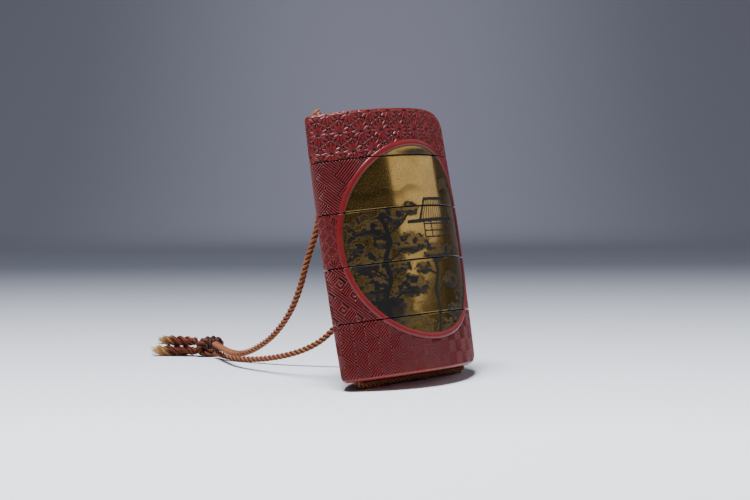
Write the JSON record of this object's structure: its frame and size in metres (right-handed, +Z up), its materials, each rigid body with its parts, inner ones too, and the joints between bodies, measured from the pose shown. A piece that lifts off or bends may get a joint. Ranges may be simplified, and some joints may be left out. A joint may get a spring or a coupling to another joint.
{
  "type": "inro case",
  "caption": "Carved red lacquer inro with a gold oval panel, leaning on its silk cord, with a knot behind.",
  "frame": {"origin": "centre of the bounding box of the case and its threaded cord, at its lowest point, on the table", "axes": "+Z up, +X along the width of the case, -Y towards the front face, and the case leans back towards +Y"},
  "size_m": [0.0624, 0.1274, 0.0874],
  "materials": {
    "red_lacquer": "carved and polished lacquer over wood, semi-gloss",
    "gold_lacquer": "polished gold lacquer ground, glossy",
    "silk_cord": "twisted silk, faded orange brown",
    "dark_silk": "knotted silk, dark purple brown"
  },
  "bodies": {
    "root": {"lid": "red_lacquer", "upper_case": "red_lacquer", "second_case": "red_lacquer", "third_case": "red_lacquer", "bottom_case": "red_lacquer", "cord_through_case": "silk_cord", "strand_left": "silk_cord", "strand_right": "silk_cord", "tail_upper": "silk_cord", "tail_lower": "silk_cord", "knot": "dark_silk"}
  },
  "joints": []
}
